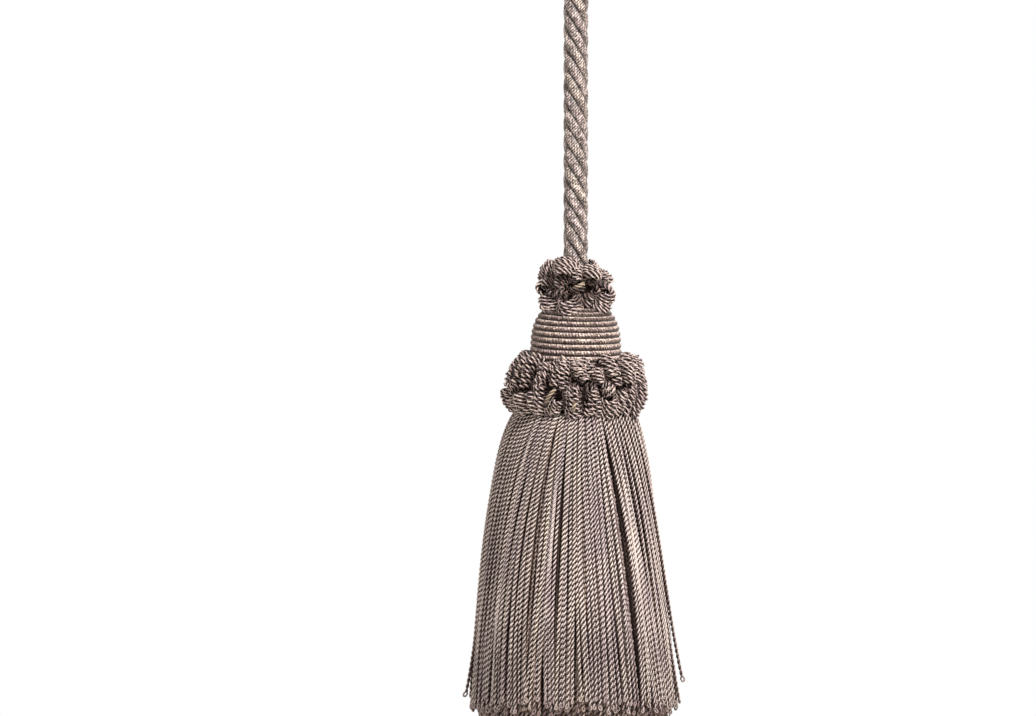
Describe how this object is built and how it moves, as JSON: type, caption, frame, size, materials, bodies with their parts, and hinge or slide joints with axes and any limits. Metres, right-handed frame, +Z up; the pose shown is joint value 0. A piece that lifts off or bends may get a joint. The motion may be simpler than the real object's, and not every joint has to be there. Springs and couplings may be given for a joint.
{
  "type": "tassel",
  "caption": "Hanging tassel with a wound bell-shaped head, looped yarn ruffs and a skirt of twisted strands, on a short twisted cord that ends in an eye.",
  "frame": {"origin": "inside of the top of the cord's eye, where a hook or knob bears, straight above the tassel's middle", "axes": "+Z up along the hanging cord, -Y towards the front, +X to the right seen from the front, in the plane of the eye"},
  "size_m": [0.0744, 0.07, 0.317],
  "materials": {
    "cord_yarn": "soft sheen",
    "whipping_thread": "soft sheen",
    "top_ruff_yarn": "soft sheen",
    "head_gimp": "soft sheen",
    "skirt_ruff_yarn": "soft sheen",
    "skirt_yarn": "soft sheen"
  },
  "bodies": {
    "root": {"hanging_cord": "cord_yarn", "eye_whipping": "whipping_thread", "top_ruff": "top_ruff_yarn", "wound_head": "head_gimp", "skirt_ruff": "skirt_ruff_yarn", "skirt": "skirt_yarn"}
  },
  "joints": []
}
